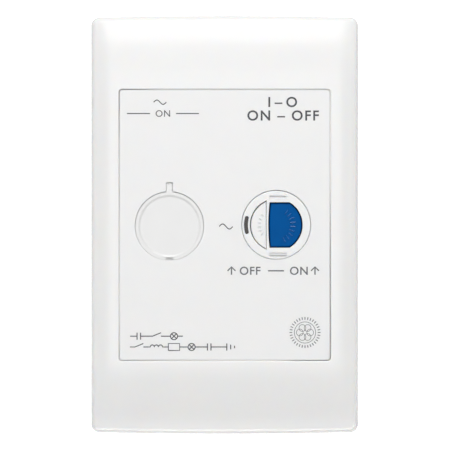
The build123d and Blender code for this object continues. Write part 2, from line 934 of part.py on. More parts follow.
with BuildPart() as test_leaf:
    block(
        test_x - leaf_width / 2,
        test_x + leaf_width / 2,
        -leaf_root,
        leaf_free_end,
        leaf_back,
        leaf_front,
    )
    fillet(test_leaf.edges().filter_by(Axis.Y).group_by(Axis.Z)[-1], leaf_round)
test_leaf.part.label = "test_leaf"

with BuildPart() as test_contacts:
    disc(test_x, -root_post_offset, post_radius, board_front, leaf_front)
    disc(test_x, contact_post_offset, post_radius, board_front, leaf_back - leaf_swing - contact_post_gap)
test_contacts.part.label = "test_contacts"

# Status light pipe: window in the nose, collar behind it and a stem down to the light
light_bottom = board_front + led_height + light_gap

with BuildPart() as status_light_pipe:
    with BuildSketch(facing(cavity_front - light_collar_depth)) as window:
        light_outline(-pin_fit)
    extrude(window.sketch, amount=nose_face - light_recess - cavity_front + light_collar_depth)
    with BuildSketch(facing(cavity_front - light_collar_depth)) as collar:
        light_outline(light_collar)
    extrude(collar.sketch, amount=light_collar_depth)
    disc(light_x, 0, light_stem_radius, light_bottom, cavity_front - light_collar_depth)
status_light_pipe.part.label = "status_light_pipe"

with BuildPart() as status_led:
    disc(light_x, 0, led_radius, board_front, board_front + led_height)
    fillet(status_led.edges().group_by(Axis.Y)[0], led_radius / 2)
status_led.part.label = "status_led"

# Mechanism frame: guide plate for the pin with a leg behind the arm anchors
frame_left = pin_x - frame_side
anchor_top = -arm_hinge_drop - arm_end_gap / 2
anchor_bottom = anchor_top - anchor_height

with BuildPart() as mechanism_frame:
    block(frame_left, cavity_half_width, anchor_bottom - frame_leg, frame_top, frame_back, frame_front)
    block(
        pin_x - arm_offset - arm_width / 2,
        cavity_half_width,
        anchor_bottom - frame_leg,
        anchor_bottom,
        frame_back - frame_leg_depth,
        frame_front,
    )
    disc(pin_x, 0, pin_radius + pin_running_fit, frame_back, frame_front, Mode.SUBTRACT)
mechanism_frame.part.label = "mechanism_frame"

# Contact carrier: slotted block on the pin, two posts with the lifting bar, and the tail of the latch spring
lug_low = -carrier_half_height - carrier_tail
bar_half_width = arm_offset + arm_width / 2
slot_half = latch_width / 2 + latch_slot_gap

with BuildPart() as contact_carrier:
    block(
        pin_x - carrier_half_width,
        pin_x + carrier_half_width,
        -carrier_half_height,
        carrier_half_height,
        carrier_back,
        carrier_front,
    )
    block(
        pin_x - slot_half,
        pin_x + slot_half,
        -carrier_half_height,
        carrier_half_height,
        latch_back - latch_slot_gap,
        latch_front + latch_slot_gap,
        Mode.SUBTRACT,
    )
    disc(pin_x, 0, pin_radius + pin_running_fit, carrier_back, carrier_front, Mode.SUBTRACT)
    for side in (-1, 1):
        outer = side * carrier_half_width
        inner = side * (carrier_half_width - carrier_post_width)
        block(
            pin_x + min(inner, outer),
            pin_x + max(inner, outer),
            -carrier_bar_drop - carrier_bar_height / 2,
            -carrier_bar_drop + carrier_bar_height / 2,
            bar_back,
            carrier_back,
        )
    block(
        pin_x - bar_half_width,
        pin_x + bar_half_width,
        -carrier_bar_drop - carrier_bar_height / 2,
        -carrier_bar_drop + carrier_bar_height / 2,
        bar_back,
        bar_front,
    )
    block(
        pin_x - latch_spring_radius,
        pin_x + latch_spring_radius,
        lug_low,
        -carrier_half_height,
        carrier_back,
        carrier_back + carrier_tail_thickness,
    )
    block(
        pin_x - slot_half,
        pin_x + slot_half,
        lug_low,
        lug_low + carrier_lug,
        carrier_back,
        latch_front,
    )
contact_carrier.part.label = "contact_carrier"

# Latch slide: plate whose keyhole holds the pin's groove
keyhole_half = pin_groove_radius + pin_running_fit

with BuildPart() as latch_slide:
    block(
        pin_x - latch_width / 2,
        pin_x + latch_width / 2,
        -latch_low_end,
        latch_high_end,
        latch_back,
        latch_front,
    )
    disc(pin_x, trip_travel, pin_radius + pin_running_fit, latch_back, latch_front, Mode.SUBTRACT)
    disc(pin_x, 0, keyhole_half, latch_back, latch_front, Mode.SUBTRACT)
    block(pin_x - keyhole_half, pin_x + keyhole_half, 0, trip_travel, latch_back, latch_front, Mode.SUBTRACT)
latch_slide.part.label = "latch_slide"

with BuildPart() as latch_spring:
    coil_spring(
        Vector(pin_x, -latch_middle, lug_low + carrier_lug),
        Vector(0, 0, 1),
        -latch_low_end - lug_low - carrier_lug,
        latch_spring_radius,
        latch_spring_wire,
        latch_spring_turns,
    )
latch_spring.part.label = "latch_spring"

# Contact arms, their anchors and the fixed contacts, one set for each pole
contact_parts = {}
for pole, x in arm_places.items():
    left = x - arm_width / 2
    right = x + arm_width / 2

    with BuildPart() as moving_arm:
        block(left, right, anchor_top + arm_end_gap, arm_free_end, arm_back, arm_front)
        fillet(moving_arm.edges().filter_by(Axis.Y).group_by(Axis.Z)[-1], arm_round)
        disc(x, contact_offset, contact_radius, arm_front, moving_contact_face)
    contact_parts[f"moving_contact_arm_{pole}"] = moving_arm.part

    with BuildPart() as anchor:
        block(left, right, anchor_bottom, anchor_top, arm_back - anchor_back, arm_front + anchor_front)
    contact_parts[f"arm_anchor_{pole}"] = anchor.part

    with BuildPart() as fixed_contact:
        block(left, right, strip_low_end, strip_high_end, strip_back, strip_front)
        block(left, right, strip_high_end - strip_thickness, strip_high_end, cavity_back, strip_front)
        disc(x, contact_offset, contact_radius, fixed_contact_face, strip_back)
        bend = fixed_contact.edges().filter_by(Axis.X).group_by(Axis.Z)[-1].group_by(Axis.Y)[0]
        fillet(bend, strip_thickness)
    contact_parts[f"fixed_contact_{pole}"] = fixed_contact.part

for name, piece in contact_parts.items():
    piece.label = name

# Trip solenoid: bobbin, winding and bent yoke around the plunger
bobbin_bottom = yoke_bottom + yoke_thickness
bobbin_top = bobbin_bottom + bobbin_length
bobbin_bore = plunger_radius + plunger_fit

with BuildPart() as trip_bobbin:
    upright(pin_x, latch_middle, bobbin_radius, bobbin_bottom, bobbin_bottom + bobbin_flange)
    upright(pin_x, latch_middle, bobbin_bore + bobbin_wall, bobbin_bottom, bobbin_top)
    upright(pin_x, latch_middle, bobbin_radius, bobbin_top - bobbin_flange, bobbin_top)
    upright(pin_x, latch_middle, bobbin_bore, bobbin_bottom, bobbin_top, Mode.SUBTRACT)
trip_bobbin.part.label = "trip_bobbin"

with BuildPart() as trip_winding:
    winding_low = bobbin_bottom + bobbin_flange + coil_gap
    winding_high = bobbin_top - bobbin_flange - coil_gap
    upright(pin_x, latch_middle, winding_radius, winding_low, winding_high)
    winding_bore = bobbin_bore + bobbin_wall + coil_gap
    upright(pin_x, latch_middle, winding_bore, winding_low, winding_high, Mode.SUBTRACT)
trip_winding.part.label = "trip_winding"

yoke_front = latch_middle + yoke_half_width

with BuildPart() as trip_yoke:
    block(
        pin_x - yoke_half_width,
        pin_x + yoke_half_width,
        yoke_bottom,
        yoke_top,
        yoke_back,
        yoke_front,
    )
    block(
        pin_x - yoke_half_width,
        pin_x + yoke_half_width,
        bobbin_bottom,
        bobbin_top,
        yoke_back + yoke_thickness,
        yoke_front,
        Mode.SUBTRACT,
    )
    upright(pin_x, latch_middle, bobbin_bore, yoke_bottom, bobbin_bottom, Mode.SUBTRACT)
    upright(pin_x, latch_middle, plunger_stem_radius + plunger_fit, bobbin_top, yoke_top, Mode.SUBTRACT)
trip_yoke.part.label = "trip_yoke"

# Plunger: thick inside the coil, thin through the yoke, with a collar for its spring
plunger_bottom = latch_high_end + plunger_gap
plunger_top = cavity_half_height - plunger_gap
plunger_step = bobbin_top - trip_travel

with BuildPart() as trip_plunger:
    upright(pin_x, latch_middle, plunger_radius, plunger_bottom, plunger_step)
    upright(pin_x, latch_middle, plunger_stem_radius, plunger_step, plunger_top)
    upright(pin_x, latch_middle, plunger_collar_radius, plunger_top - plunger_collar, plunger_top)
trip_plunger.part.label = "trip_plunger"

with BuildPart() as plunger_spring:
    coil_spring(
        Vector(pin_x, -latch_middle, yoke_top),
        Vector(0, 0, 1),
        plunger_top - plunger_collar - yoke_top,
        plunger_spring_radius,
        plunger_spring_wire,
        plunger_spring_turns,
    )
plunger_spring.part.label = "plunger_spring"

# Circuit board with the hole for the supply leads
with BuildPart() as circuit_board:
    block(
        -cavity_half_width + board_edge_gap,
        board_right,
        -board_half_height,
        board_half_height,
        board_back,
        board_front,
    )
    disc(-toroid_x, 0, board_hole_radius, board_back, board_front, Mode.SUBTRACT)
circuit_board.part.label = "circuit_board"

# Parts on the front of the board
with BuildPart() as control_chip:
    block(
        chip_x - chip_width / 2,
        chip_x + chip_width / 2,
        chip_z - chip_height / 2,
        chip_z + chip_height / 2,
        board_front,
        board_front + chip_depth,
    )
control_chip.part.label = "control_chip"

with BuildPart() as trip_thyristor:
    disc(thyristor_x, thyristor_z, thyristor_radius, board_front, board_front + thyristor_depth)
    block(
        thyristor_x - thyristor_radius,
        thyristor_x + thyristor_radius,
        thyristor_z + thyristor_flat,
        thyristor_z + thyristor_radius,
        board_front,
        board_front + thyristor_depth,
        Mode.SUBTRACT,
    )
trip_thyristor.part.label = "trip_thyristor"

with BuildPart() as supply_capacitor:
    block(
        capacitor_x - capacitor_width / 2,
        capacitor_x + capacitor_width / 2,
        capacitor_z - capacitor_height / 2,
        capacitor_z + capacitor_height / 2,
        board_front,
        board_front + capacitor_depth,
    )
    fillet(supply_capacitor.edges().group_by(Axis.Y)[0], capacitor_edge)
supply_capacitor.part.label = "supply_capacitor"

with BuildPart() as varistor:
    with BuildSketch(Plane.YZ.offset(varistor_x - varistor_thickness / 2)) as varistor_disc:
        with Locations((-board_front - varistor_radius - axial_lead_radius, varistor_z)):
            Circle(varistor_radius)
    extrude(varistor_disc.sketch, amount=varistor_thickness)
    fillet(varistor.edges(), varistor_round)
    for side in (-1, 1):
        disc(
            varistor_x,
            varistor_z + side * varistor_lead_offset,
            axial_lead_radius,
            board_front,
            board_front + varistor_radius / 2,
        )
varistor.part.label = "varistor"

# Axial resistors on the board, along X
resistors = {
    "neon_resistor": (neon_resistor_x, neon_resistor_z),
    "test_resistor": (test_resistor_x, test_resistor_z),
}
resistor_parts = {}
resistor_height = board_front + resistor_radius + axial_lead_radius
for name, (x, z) in resistors.items():
    with BuildPart() as resistor:
        with BuildSketch(Plane.YZ.offset(x - resistor_length / 2)) as resistor_end:
            with Locations((-resistor_height, z)):
                Circle(resistor_radius)
        extrude(resistor_end.sketch, amount=resistor_length)
        fillet(resistor.edges().filter_by(GeomType.CIRCLE), resistor_waist)
        reach = resistor_length / 2 + axial_lead_reach
        with BuildSketch(Plane.YZ.offset(x - reach)) as lead_end:
            with Locations((-resistor_height, z)):
                Circle(axial_lead_radius)
        extrude(lead_end.sketch, amount=2 * reach)
        for side in (-1, 1):
            disc(x + side * (reach - axial_lead_radius), z, axial_lead_radius, board_front, resistor_height)
    resistor_parts[name] = resistor.part
    resistor.part.label = name

# Current transformer behind the board, turned about the leads' axis
toroid_axis = Axis((-toroid_x, 0, 0), (0, 1, 0))

with BuildPart() as toroid_core:
    disc(-toroid_x, 0, core_outer_radius, core_back, core_front)
    disc(-toroid_x, 0, core_inner_radius, core_back, core_front, Mode.SUBTRACT)
toroid_core.part.label = "toroid_core"

with BuildPart() as sense_winding:
    with BuildSketch(Plane.XY) as winding_profile:
        middle = -toroid_x + (core_inner_radius + core_outer_radius) / 2
        core_width = core_outer_radius - core_inner_radius + 2 * winding_core_gap
        core_length = core_thickness + 2 * winding_core_gap
        with Locations((middle, -(core_front + core_back) / 2)):
            RectangleRounded(core_width + 2 * winding_wall, core_length + 2 * winding_wall, winding_wall)
            Rectangle(core_width, core_length, mode=Mode.SUBTRACT)
    revolve(winding_profile.sketch, axis=toroid_axis, revolution_arc=winding_arc)
sense_winding.part.label = "sense_winding"

# Supply leads: from the terminals through the transformer to the arm anchors
lead_start = terminal_inner - lead_gap
anchor_middle = (anchor_top + anchor_bottom) / 2
anchor_lead_end = arm_front + anchor_front + pin_fit
lead_spread = lead_radius + lead_gap / 2
line_pass = -toroid_x - lead_spread
neutral_pass = -toroid_x + lead_spread
neutral_run = anchor_middle + 2 * lead_radius + lead_bypass
lead_reach = 3 * lead_bend
lead_crossing = 4 * lead_bend
neutral_turn = arm_places["line"] + 2 * lead_radius + lead_spread + lead_gap / 2

with BuildPart() as line_in_lead:
    wire_run(
        [
            at(-terminal_offset, lead_start, in_lead_height),
            at(-terminal_offset, lead_start - lead_reach, in_lead_height),
            at(line_pass, 0, in_lead_height),
            at(line_pass, 0, lead_front_run),
            at(line_pass, anchor_middle, lead_front_run),
            at(arm_places["line"], anchor_middle, lead_front_run),
            at(arm_places["line"], anchor_middle, anchor_lead_end),
        ],
        lead_radius,
        lead_bend,
    )
line_in_lead.part.label = "line_in_lead"

with BuildPart() as neutral_in_lead:
    wire_run(
        [
            at(terminal_offset, lead_start, in_lead_height),
            at(terminal_offset, strip_high_end + 2 * lead_radius + 2 * lead_gap, in_lead_height),
            at(0, strip_high_end + 2 * lead_radius + 2 * lead_gap, in_lead_height),
            at(neutral_pass, 0, in_lead_height),
            at(neutral_pass, 0, lead_front_run),
            at(neutral_pass, neutral_run, lead_front_run),
            at(neutral_turn, neutral_run, lead_front_run),
            at(arm_places["neutral"], anchor_middle, lead_front_run),
            at(arm_places["neutral"], anchor_middle, anchor_lead_end),
        ],
        lead_radius,
        lead_bend,
    )
neutral_in_lead.part.label = "neutral_in_lead"

# Load leads: from the fixed contact bars along the back to the lower terminals
bar_side = strip_high_end - strip_thickness - lead_gap

with BuildPart() as line_out_lead:
    wire_run(
        [
            at(arm_places["line"], bar_side, out_lead_height),
            at(arm_places["line"], bar_side - lead_reach, out_lead_height),
            at(-terminal_offset, -lead_start + lead_crossing, out_lead_height),
            at(-terminal_offset, -lead_start, out_lead_height),
        ],
        lead_radius,
        lead_bend,
    )
line_out_lead.part.label = "line_out_lead"

with BuildPart() as neutral_out_lead:
    wire_run(
        [
            at(arm_places["neutral"], bar_side, out_lead_height),
            at(arm_places["neutral"], 0, out_lead_height),
            at(terminal_offset, -lead_start + lead_reach, out_lead_height),
            at(terminal_offset, -lead_start, out_lead_height),
        ],
        lead_radius,
        lead_bend,
    )
neutral_out_lead.part.label = "neutral_out_lead"

# Tunnel terminals: brass blocks with a wire bore along Z and a clamp screw from behind
terminal_places = {
    "line_in": (-terminal_offset, 1),
    "neutral_in": (terminal_offset, 1),
    "line_out": (-terminal_offset, -1),
    "neutral_out": (terminal_offset, -1),
}
terminal_parts = {}
for role, (x, side) in terminal_places.items():
    low = min(side * terminal_inner, side * cavity_half_height)
    high = max(side * terminal_inner, side * cavity_half_height)
    with BuildPart() as terminal:
        block(x - terminal_width / 2, x + terminal_width / 2, low, high, cavity_back, terminal_front)
        upright(x, bore_height, wire_bore / 2, low, high, Mode.SUBTRACT)
        disc(x, (low + high) / 2, clamp_hole_radius, cavity_back, bore_height, Mode.SUBTRACT)
    terminal.part.label = f"terminal_{role}"
    terminal_parts[f"terminal_{role}"] = terminal.part

with BuildPart() as terminal_screws:
    for x, side in terminal_places.values():
        z = side * (terminal_inner + terminal_length / 2)
        disc(x, z, clamp_head_radius, cavity_back - clamp_head, cavity_back)
        disc(x, z, clamp_screw_radius, cavity_back, cavity_back + clamp_screw_length)
        block(
            x - clamp_head_radius,
            x + clamp_head_radius,
            z - screw_slot_width / 2,
            z + screw_slot_width / 2,
            cavity_back - clamp_head,
            cavity_back - clamp_head + screw_slot_depth,
            Mode.SUBTRACT,
        )
terminal_screws.part.label = "terminal_screws"

# Every piece goes to its own file
os.makedirs("parts", exist_ok=True)
export_step(surround_cover.part, "parts/surround_cover.step")
export_step(grid_plate.part, "parts/grid_plate.step")
export_step(front_housing.part, "parts/front_housing.step")
export_step(rear_housing.part, "parts/rear_housing.step")
export_step(housing_screws.part, "parts/housing_screws.step")
export_step(indicator_lens.part, "parts/indicator_lens.step")
export_step(indicator_reflector.part, "parts/indicator_reflector.step")
export_step(neon_lamp.part, "parts/neon_lamp.step")
export_step(reset_button.part, "parts/reset_button.step")
export_step(reset_pin.part, "parts/reset_pin.step")
export_step(reset_spring.part, "parts/reset_spring.step")
export_step(test_button.part, "parts/test_button.step")
export_step(test_leaf.part, "parts/test_leaf.step")
export_step(test_contacts.part, "parts/test_contacts.step")
export_step(status_light_pipe.part, "parts/status_light_pipe.step")
export_step(status_led.part, "parts/status_led.step")
export_step(mechanism_frame.part, "parts/mechanism_frame.step")
export_step(contact_carrier.part, "parts/contact_carrier.step")
export_step(latch_slide.part, "parts/latch_slide.step")
export_step(latch_spring.part, "parts/latch_spring.step")
export_step(trip_bobbin.part, "parts/trip_bobbin.step")
export_step(trip_winding.part, "parts/trip_winding.step")
export_step(trip_yoke.part, "parts/trip_yoke.step")
export_step(trip_plunger.part, "parts/trip_plunger.step")
export_step(plunger_spring.part, "parts/plunger_spring.step")
export_step(circuit_board.part, "parts/circuit_board.step")
export_step(control_chip.part, "parts/control_chip.step")
export_step(trip_thyristor.part, "parts/trip_thyristor.step")
export_step(supply_capacitor.part, "parts/supply_capacitor.step")
export_step(varistor.part, "parts/varistor.step")
export_step(toroid_core.part, "parts/toroid_core.step")
export_step(sense_winding.part, "parts/sense_winding.step")
export_step(line_in_lead.part, "parts/line_in_lead.step")
export_step(neutral_in_lead.part, "parts/neutral_in_lead.step")
export_step(line_out_lead.part, "parts/line_out_lead.step")
export_step(neutral_out_lead.part, "parts/neutral_out_lead.step")
export_step(terminal_screws.part, "parts/terminal_screws.step")
for name, piece in {**contact_parts, **resistor_parts, **terminal_parts}.items():
    export_step(piece, f"parts/{name}.step")
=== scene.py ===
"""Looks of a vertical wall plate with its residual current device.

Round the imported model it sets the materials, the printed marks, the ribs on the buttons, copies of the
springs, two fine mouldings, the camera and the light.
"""

import json
import math

import bmesh
import bpy
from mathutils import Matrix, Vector


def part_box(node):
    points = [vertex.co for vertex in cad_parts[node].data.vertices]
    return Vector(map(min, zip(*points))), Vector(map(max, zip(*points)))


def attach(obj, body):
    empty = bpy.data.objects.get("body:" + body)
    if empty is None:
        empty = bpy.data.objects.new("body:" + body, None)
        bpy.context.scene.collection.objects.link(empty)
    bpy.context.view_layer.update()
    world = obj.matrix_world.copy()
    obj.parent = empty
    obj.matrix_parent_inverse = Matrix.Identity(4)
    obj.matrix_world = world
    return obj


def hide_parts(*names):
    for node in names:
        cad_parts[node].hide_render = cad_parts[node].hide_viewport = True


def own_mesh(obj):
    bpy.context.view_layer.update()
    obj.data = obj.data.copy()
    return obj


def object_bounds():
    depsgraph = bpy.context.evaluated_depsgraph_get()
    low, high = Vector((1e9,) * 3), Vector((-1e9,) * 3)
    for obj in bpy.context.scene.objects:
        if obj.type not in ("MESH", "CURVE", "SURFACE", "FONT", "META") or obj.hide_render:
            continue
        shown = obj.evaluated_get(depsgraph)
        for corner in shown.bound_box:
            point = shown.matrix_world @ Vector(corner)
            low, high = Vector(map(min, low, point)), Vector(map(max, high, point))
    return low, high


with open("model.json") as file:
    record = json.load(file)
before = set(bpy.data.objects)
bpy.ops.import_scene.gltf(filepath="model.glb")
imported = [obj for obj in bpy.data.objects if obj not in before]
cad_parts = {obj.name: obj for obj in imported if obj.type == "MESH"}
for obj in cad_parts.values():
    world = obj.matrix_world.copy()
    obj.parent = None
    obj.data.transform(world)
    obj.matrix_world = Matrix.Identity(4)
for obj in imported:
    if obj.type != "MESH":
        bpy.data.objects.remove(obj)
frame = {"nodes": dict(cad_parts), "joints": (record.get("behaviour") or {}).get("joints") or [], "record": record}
nodes = frame["nodes"]
cad_low, cad_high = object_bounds()

# Scale of the photograph, and the pixel in it of the plate's middle
MM = 0.001
PIXEL = 0.2841 * MM
MIDDLE_X = 224.7
MIDDLE_Y = 225.0
PHOTO_SIZE = 450

# Levels of a screen colour, and the curve that turns them into scene colours
SCREEN_LEVELS = 255
SCREEN_TOE = 0.04045
SCREEN_TOE_SLOPE = 12.92
SCREEN_OFFSET = 0.055
SCREEN_POWER = 2.4

# Noises of the materials: sizes, detail, the range that is used, and the stretch along X, Y and Z
CLOUD_SIZE = 9.0 * MM
CLOUD_DETAIL = 3.0
CLOUD_RANGE = (0.3, 0.7)
GLOSS_PATCH = 2.5 * MM
GLOSS_RANGE = (0.25, 0.75)
GRAIN_DETAIL = 2.0
LINE_DETAIL = 4.0
EVEN = (1, 1, 1)
BRUSHED = (1, 1, 12)
WOUND = (1, 1, 4)

# Surfaces of plastic, metal and glass: the spreads are shares of a roughness
GRAIN_DEPTH = 0.02 * MM
PLASTIC_IOR = 1.5
PLASTIC_SPREAD = (0.9, 1.1)
SCATTER_COLOURS = (1.0, 0.8, 0.62)
SCATTER_DEPTH = 1.0 * MM
METAL_SPREAD = (0.8, 1.25)
TARNISH = 0.08
TARNISH_SIZE = 3.0 * MM
LINE_RELIEF = 0.12
FROST = 0.01
FROST_SIZE = 0.8 * MM
FROST_GRAIN = FROST_SIZE / 2

# Inks, in screen colours, and the strokes and letters printed with them
INK_SHADE = (70, 70, 74)
PALE_INK_SHADE = (100, 100, 104)
INK_HEIGHT = 0.02 * MM
STROKE_SIDES = 3
ARC_STEPS = 24
THIN_STROKE = 1.0 * PIXEL
CAPITAL_SHARE = 0.682
SMALL_CAPITAL = 6.4 * PIXEL
MIDDLE_CAPITAL = 7.8 * PIXEL
LARGE_CAPITAL = 9.6 * PIXEL
MIDDLE_WEIGHT = 0.12 * PIXEL
LARGE_WEIGHT = 0.22 * PIXEL
WIDE_SPACING = 1.1
WIDEST_SPACING = 1.2
DASH = "\N{EN DASH}"

# Printed labels: places in the photograph's pixels, sizes in pixels of the plate
LAMP_WAVE = (160.0, 102.2)
LAMP_WAVE_SIZE = (12.5 * PIXEL, 4.4 * PIXEL)
MIDDLE_WAVE = (226.0, 226.5)
MIDDLE_WAVE_SIZE = (13.5 * PIXEL, 5.0 * PIXEL)
LAMP_LABEL = (163.0, 113.5)
LAMP_LABEL_HALF = 13.0
LAMP_LABEL_START = 127.0
LAMP_LABEL_END = 199.0
SWITCH_SIGNS = (282.5, 102.0)
SWITCH_WORDS = (283.0, 115.5)
NOSE_OFF = (250.0, 270.8)
NOSE_ON = (299.0, 270.8)
NOSE_RULE = (268.0, 284.0)
NOSE_ARROWS = (231.5, 315.0)
NOSE_STROKE = 1.3 * PIXEL

# Circuit symbols: rows and first column in the photograph's pixels, then shares of a symbol's width or height
SYMBOL_ROWS = (336.2, 347.0)
SYMBOL_START = 130.0
SYMBOL_WIDTH = 17.6 * PIXEL
SYMBOL_HEIGHT = 7.0 * PIXEL
SYMBOL_STROKE = 1.05 * PIXEL
CELL_PLATES = (0.4, 0.6)
CONTACT_ENDS = (0.28, 0.76)
LAMP_STEPS = 28
COIL_ENDS = (0.15, 0.85)
COIL_BOWS = 3
COIL_BOW_STEPS = 12
RESISTOR_ENDS = (0.18, 0.82)
EARTH_BARS = 3
EARTH_START = 0.5
EARTH_STEP = 0.22
EARTH_SHRINK = 0.32

# Round mark at the bottom right
ROUND_MARK = (305.0, 332.5)
MARK_TICKS = 32
MARK_TICK_START = 12.8 * PIXEL
MARK_TICK_END = 15.5 * PIXEL
MARK_TICK_STROKE = 0.9 * PIXEL
MARK_RING = 10.6 * PIXEL
MARK_RING_STEPS = 48
MARK_RING_STROKE = 0.55 * PIXEL
MARK_PETALS = 6
MARK_PETAL_PLACE = 5.2 * PIXEL
MARK_PETAL_RADIUS = 3.4 * PIXEL
MARK_PETAL_STEPS = 20

# Raised ribs on the buttons, along arcs in degrees about the middle of the nose. Their stations are shares
# of a rib's length, from its middle
NOSE_X = 14.65 * MM
RIB_STATIONS = (-0.5, -0.17, 0.17, 0.5)
RESET_RIB_RADIUS = 4.75 * MM
RESET_RIB_LENGTH = 1.5 * MM
RESET_RIB_ARC = (52, -62)
RESET_RIB_COUNT = 9
RESET_RIB_WIDTH = 0.42 * MM
RESET_RIB_HEIGHT = 0.22 * MM
TEST_RIB_RADIUS = 4.8 * MM
TEST_RIB_LENGTH = 1.1 * MM
TEST_RIB_ARC = (146, 214)
TEST_RIB_COUNT = 6
TEST_RIB_WIDTH = 0.28 * MM
TEST_RIB_HEIGHT = 0.08 * MM

# Ledge in the gap round the panel. Its four sides go anticlockwise from the top right corner. Each has two
# knees, at a share of its half length either way from its middle. Its depths, in mm behind the panel's front,
# are those at the corner where it starts, at its first knee and at its second
PANEL_HALF_WIDTH = 29.9 * MM
PANEL_HALF_HEIGHT = 38.4 * MM
PANEL_CORNER = 0.8 * MM
PANEL_GAP = 0.2 * MM
PANEL_CORNERS = ((1, 1), (-1, 1), (-1, -1), (1, -1))
LEDGE_KNEES = (0.7, 0.6, 0.5, 0.4)
LEDGE_DEPTHS = ((0.3, 0.12, 0.04), (1.4, 0.45, 0.18), (0.6, 0.28, 0.15), (1.4, 1.2, 0.02))
LEDGE_PLAY = 0.03 * MM
LEDGE_THICKNESS = 0.5 * MM
LEDGE_CORNER_STEPS = 8

# Sloping foot of the lens's rim
LENS_MIDDLE = (-15.7 * MM, -0.3 * MM)
SLOPE_OUTER = 8.78 * MM
SLOPE_INNER = 8.25 * MM
SLOPE_TOP = 0.02 * MM
SLOPE_DEPTH = 0.29 * MM
SLOPE_STEPS = 120

# Camera and floor
CAMERA_DISTANCE = 4.0
CAMERA_CLIP = (0.1, 20.0)
SENSOR = 36.0
FLOOR_DROP = 0.08
FLOOR_SQUARE = ((-0.9, -0.9), (0.9, -0.9), (0.9, 0.9), (-0.9, 0.9))

# Surroundings: shades from in front of the plate, at 0, to behind it, at 1, and the sockets that mix them
SKY_STRENGTH = 1.5
SKY_SHADES = ((0.0, 0.5), (0.2, 0.47), (0.36, 0.5), (0.45, 0.72), (0.55, 0.68), (1.0, 0.7))
MIX_OTHERWISE = 6
MIX_SEEN = 7
MIX_RESULT = 2
WHITE = (1.0, 1.0, 1.0, 1.0)

# Lights. Each front card has a name, the heights of its lower and upper edge, and a radiance
SOFTBOX_SIZE = (0.28, 0.45)
SOFTBOX_EDGE_Y = -0.61
SOFTBOX_EDGE_Z = 0.23
SOFTBOX_TILT = math.radians(38)
SOFTBOX_RADIANCE = 3.6
FILL_SIZE = (0.9, 0.5)
FILL_PLACE = (0.0, -0.65, 0.6)
FILL_RADIANCE = 3.36
FRONT_CARD_DISTANCE = 1.3
FRONT_CARD_WIDTH = 0.4
FRONT_CARDS = (("front_card", (-0.13, 0.19), 2.3), ("upper_front_card", (0.19, 0.43), 1.35))
BOUNCE_SIZE = (0.4, 0.1)
BOUNCE_DEPTH = 0.055
BOUNCE_LIFT = 1.0 * MM
BOUNCE_RADIANCE = 1.6
LOW_CARD_DISTANCE = 20.0 * MM
LOW_CARD_WIDTH = 140.0 * MM
LOW_CARD_COUNT = 7
LOW_CARD_TOP = 3.0 * MM
LOW_CARD_HEIGHT = 1.5 * MM
LOW_CARD_STRETCH = 1.6
LOW_CARD_RADIANCE = 1.0
LOW_CARD_GAIN = 1.45

# Fronts of the pieces that carry marks or mouldings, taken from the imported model
panel_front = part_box("grid_plate")[0].y
reset_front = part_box("reset_button")[0].y
test_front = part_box("test_button")[0].y
lens_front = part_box("indicator_lens")[0].y


def across(pixel_x):
    """X of a column of the photograph, on the plate."""
    return (pixel_x - MIDDLE_X) * PIXEL


def upward(pixel_y):
    """Z of a row of the photograph, on the plate."""
    return (MIDDLE_Y - pixel_y) * PIXEL


def linear(shade):
    """Scene colour of a screen colour."""
    colour = []
    for level in shade:
        share = level / SCREEN_LEVELS
        if share <= SCREEN_TOE:
            colour.append(share / SCREEN_TOE_SLOPE)
        else:
            colour.append(((share + SCREEN_OFFSET) / (1 + SCREEN_OFFSET)) ** SCREEN_POWER)
    return colour


def new_object(name, data):
    """Object of some data, in the scene."""
    made = bpy.data.objects.new(name, data)
    bpy.context.scene.collection.objects.link(made)
    return made


# Materials: each one has its colour variation, roughness variation and grain from its nodes
def new_material(name):
    """Empty node material with its shader and coordinates ready."""
    material = bpy.data.materials.new(name)
    material.use_nodes = True
    tree = material.node_tree
    shader = tree.nodes["Principled BSDF"]
    coordinates = tree.nodes.new("ShaderNodeTexCoord")
    return material, tree, shader, coordinates.outputs["Object"]


def noise(tree, coordinates, size, detail=CLOUD_DETAIL, stretch=EVEN):
    """Noise whose features are about size metres across."""
    mapping = tree.nodes.new("ShaderNodeMapping")
    mapping.inputs["Scale"].default_value = [share / size for share in stretch]
    tree.links.new(coordinates, mapping.inputs["Vector"])
    texture = tree.nodes.new("ShaderNodeTexNoise")
    texture.inputs["Scale"].default_value = 1.0
    texture.inputs["Detail"].default_value = detail
    tree.links.new(mapping.outputs["Vector"], texture.inputs["Vector"])
    return texture.outputs["Fac"]


def clouded_colour(tree, shader, value, colour, cloud):
    """Base colour that is a little darker and lighter with a noise."""
    ramp = tree.nodes.new("ShaderNodeValToRGB")
    for element, place, share in zip(ramp.color_ramp.elements, CLOUD_RANGE, (1 - cloud, 1 + cloud)):
        element.position = place
        element.color = [min(1.0, channel * share) for channel in colour] + [1.0]
    tree.links.new(value, ramp.inputs["Fac"])
    tree.links.new(ramp.outputs["Color"], shader.inputs["Base Color"])


def uneven_gloss(tree, shader, value, gloss, shares):
    """Roughness that goes with a noise from one share of the gloss to another."""
    spread = tree.nodes.new("ShaderNodeMapRange")
    spread.inputs["From Min"].default_value = GLOSS_RANGE[0]
    spread.inputs["From Max"].default_value = GLOSS_RANGE[1]
    spread.inputs["To Min"].default_value = gloss * shares[0]
    spread.inputs["To Max"].default_value = gloss * shares[1]
    tree.links.new(value, spread.inputs["Value"])
    tree.links.new(spread.outputs["Result"], shader.inputs["Roughness"])


